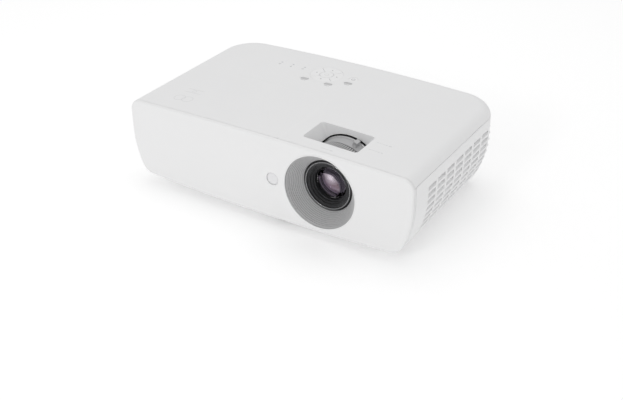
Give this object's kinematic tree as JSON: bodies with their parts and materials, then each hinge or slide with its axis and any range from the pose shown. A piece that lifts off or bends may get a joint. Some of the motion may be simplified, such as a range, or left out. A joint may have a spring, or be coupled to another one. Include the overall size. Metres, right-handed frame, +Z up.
{
  "type": "home projector",
  "caption": "Low white home projector with a recessed zoom lens, window over the lens rings, lift-off lamp cover, keypad, louvred flanks, screw feet and rear socket tray.",
  "frame": {"origin": "middle of the case footprint, on the table under the feet", "axes": "+X to the right seen from the front, the lens looks along -Y, +Z up"},
  "size_m": [0.332, 0.208, 0.099],
  "materials": {
    "case_white": "satin",
    "recess_grey": "satin",
    "receiver": "glossy",
    "light_pipe": "clear",
    "lens_black": "satin",
    "chrome_trim": "polished",
    "coated_glass": "coated",
    "lamp_glass": "clear",
    "reflector": "polished",
    "cast_metal": "cast",
    "circuit_board": "satin",
    "chip": "satin",
    "inner_black": "satin",
    "steel": "plated",
    "insert_brass": "machined",
    "foot_plastic": "satin",
    "foot_rubber": "matt"
  },
  "bodies": {
    "case": {"beam_prism": "coated_glass", "bottom_case": "case_white", "case_screws": "steel", "chip_board": "circuit_board", "chip_heatsink": "cast_metal", "colour_wheel_motor": "cast_metal", "engine_housing": "cast_metal", "exhaust_fan_frame": "inner_black", "fixed_foot": "foot_rubber", "fold_mirrors": "reflector", "front_panel": "case_white", "imaging_chip": "chip", "intake_fan_frame": "inner_black", "keypad_board": "circuit_board", "lamp_ballast": "circuit_board", "lamp_blower_housing": "inner_black", "lamp_burner": "lamp_glass", "lamp_housing": "inner_black", "lamp_reflector": "reflector", "lens_barrel": "lens_black", "lens_recess_ring": "recess_grey", "light_tunnel": "reflector", "main_board": "circuit_board", "mains_inlet": "inner_black", "mount_inserts": "insert_brass", "power_board": "circuit_board", "rear_lens": "coated_glass", "rear_panel": "case_white", "receiver_window": "receiver", "relay_lens": "coated_glass", "signal_sockets": "inner_black", "speaker": "inner_black", "status_lights": "light_pipe", "top_cover": "case_white"},
    "lamp_lid": {"lamp_cover": "case_white"},
    "lamp_screw": {"lamp_cover_screw": "steel"},
    "front_group": {"front_lens_cell": "lens_black", "front_lens": "coated_glass", "lens_trim_ring": "chrome_trim"},
    "zoom_group": {"zoom_lens_cell": "lens_black", "zoom_lens": "coated_glass"},
    "focus_ring": {"focus_ring": "lens_black"},
    "zoom_ring": {"zoom_ring": "recess_grey"},
    "colour_wheel": {"colour_wheel": "reflector"},
    "intake_rotor": {"intake_fan_rotor": "inner_black"},
    "exhaust_rotor": {"exhaust_fan_rotor": "inner_black"},
    "blower_wheel": {"lamp_blower_wheel": "inner_black"},
    "front_stud": {"front_foot_stud": "steel"},
    "front_knob": {"front_foot_knob": "foot_plastic"},
    "rear_stud": {"rear_foot_stud": "steel"},
    "rear_knob": {"rear_foot_knob": "foot_plastic"},
    "key_power": {"key_power": "case_white"},
    "key_menu": {"key_menu": "case_white"},
    "key_back": {"key_back": "case_white"},
    "key_source": {"key_source": "case_white"},
    "key_ok": {"key_ok": "case_white"},
    "key_up": {"key_up": "case_white"},
    "key_down": {"key_down": "case_white"},
    "key_left": {"key_left": "case_white"},
    "key_right": {"key_right": "case_white"}
  },
  "joints": [
    {"name": "lamp_cover_lift", "type": "slide", "parent": "case", "child": "lamp_lid", "axis": [0, 0, 1], "range_m": [0, 0.06]},
    {"name": "lamp_screw_turn", "type": "hinge", "parent": "lamp_lid", "child": "lamp_screw", "pos_m": [-0.16, -0.034, 0.072], "axis": [-1, 0, 0], "continuous": true},
    {"name": "focus_turn", "type": "hinge", "parent": "case", "child": "focus_ring", "pos_m": [0.0673, -0.07, 0.054], "axis": [0, 1, 0], "range_deg": [-45, 45]},
    {"name": "focus_travel", "type": "slide", "parent": "case", "child": "front_group", "axis": [0, -1, 0], "range_m": [-0.0021, 0.0021]},
    {"name": "zoom_turn", "type": "hinge", "parent": "case", "child": "zoom_ring", "pos_m": [0.0673, -0.055, 0.054], "axis": [0, 1, 0], "range_deg": [-50, 10]},
    {"name": "zoom_travel", "type": "slide", "parent": "case", "child": "zoom_group", "axis": [0, -1, 0], "range_m": [-0.0017, 0.0082]},
    {"name": "colour_wheel_spin", "type": "hinge", "parent": "case", "child": "colour_wheel", "pos_m": [-0.062, -0.027, 0.065], "axis": [1, 0, 0], "continuous": true},
    {"name": "intake_fan_spin", "type": "hinge", "parent": "case", "child": "intake_rotor", "pos_m": [0.1415, 0.035, 0.05], "axis": [1, 0, 0], "continuous": true},
    {"name": "exhaust_fan_spin", "type": "hinge", "parent": "case", "child": "exhaust_rotor", "pos_m": [-0.1415, -0.027, 0.05], "axis": [1, 0, 0], "continuous": true},
    {"name": "blower_spin", "type": "hinge", "parent": "case", "child": "blower_wheel", "pos_m": [-0.035, -0.07, 0.022], "axis": [0, 0, 1], "continuous": true},
    {"name": "power_key_press", "type": "slide", "parent": "case", "child": "key_power", "axis": [0, 0, -1], "range_m": [0, 0.0006], "stiffness_N_per_m": 1500},
    {"name": "menu_key_press", "type": "slide", "parent": "case", "child": "key_menu", "axis": [0, 0, -1], "range_m": [0, 0.0006], "stiffness_N_per_m": 1500},
    {"name": "back_key_press", "type": "slide", "parent": "case", "child": "key_back", "axis": [0, 0, -1], "range_m": [0, 0.0006], "stiffness_N_per_m": 1500},
    {"name": "source_key_press", "type": "slide", "parent": "case", "child": "key_source", "axis": [0, 0, -1], "range_m": [0, 0.0006], "stiffness_N_per_m": 1500},
    {"name": "ok_key_press", "type": "slide", "parent": "case", "child": "key_ok", "axis": [0, 0, -1], "range_m": [0, 0.0006], "stiffness_N_per_m": 1500},
    {"name": "up_key_press", "type": "slide", "parent": "case", "child": "key_up", "axis": [0, 0, -1], "range_m": [0, 0.0006], "stiffness_N_per_m": 1500},
    {"name": "down_key_press", "type": "slide", "parent": "case", "child": "key_down", "axis": [0, 0, -1], "range_m": [0, 0.0006], "stiffness_N_per_m": 1500},
    {"name": "left_key_press", "type": "slide", "parent": "case", "child": "key_left", "axis": [0, 0, -1], "range_m": [0, 0.0006], "stiffness_N_per_m": 1500},
    {"name": "right_key_press", "type": "slide", "parent": "case", "child": "key_right", "axis": [0, 0, -1], "range_m": [0, 0.0006], "stiffness_N_per_m": 1500},
    {"name": "front_foot_drop", "type": "slide", "parent": "case", "child": "front_stud", "axis": [0, 0, -1], "range_m": [0, 0.0121]},
    {"name": "front_foot_turn", "type": "hinge", "parent": "front_stud", "child": "front_knob", "pos_m": [0.019, -0.08, 0.004], "axis": [0, 0, -1], "range_deg": [0, 2880]},
    {"name": "rear_foot_drop", "type": "slide", "parent": "case", "child": "rear_stud", "axis": [0, 0, -1], "range_m": [0, 0.0121]},
    {"name": "rear_foot_turn", "type": "hinge", "parent": "rear_stud", "child": "rear_knob", "pos_m": [0.122, 0.074, 0.004], "axis": [0, 0, -1], "range_deg": [0, 2880]}
  ],
  "couplings": [
    {"joint": "focus_travel", "follows": "focus_turn", "m_per_rad": 0.00255},
    {"joint": "zoom_travel", "follows": "zoom_turn", "m_per_rad": -0.0092},
    {"joint": "front_foot_drop", "follows": "front_foot_turn", "m_per_rad": 0.00023873},
    {"joint": "rear_foot_drop", "follows": "rear_foot_turn", "m_per_rad": 0.00023873}
  ]
}
